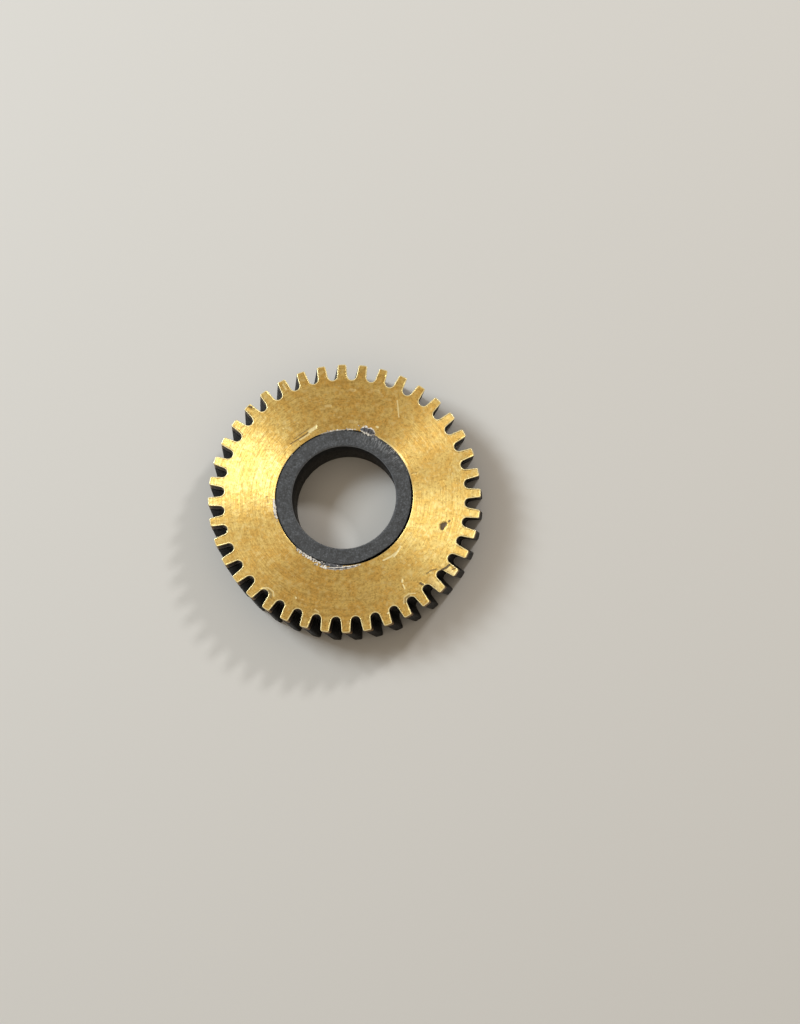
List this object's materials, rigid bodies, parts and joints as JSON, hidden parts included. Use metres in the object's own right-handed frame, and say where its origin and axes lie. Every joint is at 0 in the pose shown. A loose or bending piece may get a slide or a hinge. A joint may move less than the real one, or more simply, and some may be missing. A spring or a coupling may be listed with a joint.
{
  "type": "worm wheel",
  "caption": "Helical worm wheel: a brass toothed plate pressed over the boss of a black moulded toothed wheel with a plain through bore.",
  "frame": {"origin": "centre of the shaft bore on the moulded underside", "axes": "+Z along the bore axis towards the brass face; a tooth gap lies on +X at the underside"},
  "size_m": [0.042, 0.042, 0.008],
  "materials": {
    "black_plastic": "matte moulded, faced off on the boss",
    "brass": "turned, with fine circular tool marks"
  },
  "bodies": {
    "root": {"moulded_wheel": "black_plastic", "brass_plate": "brass"}
  },
  "joints": []
}
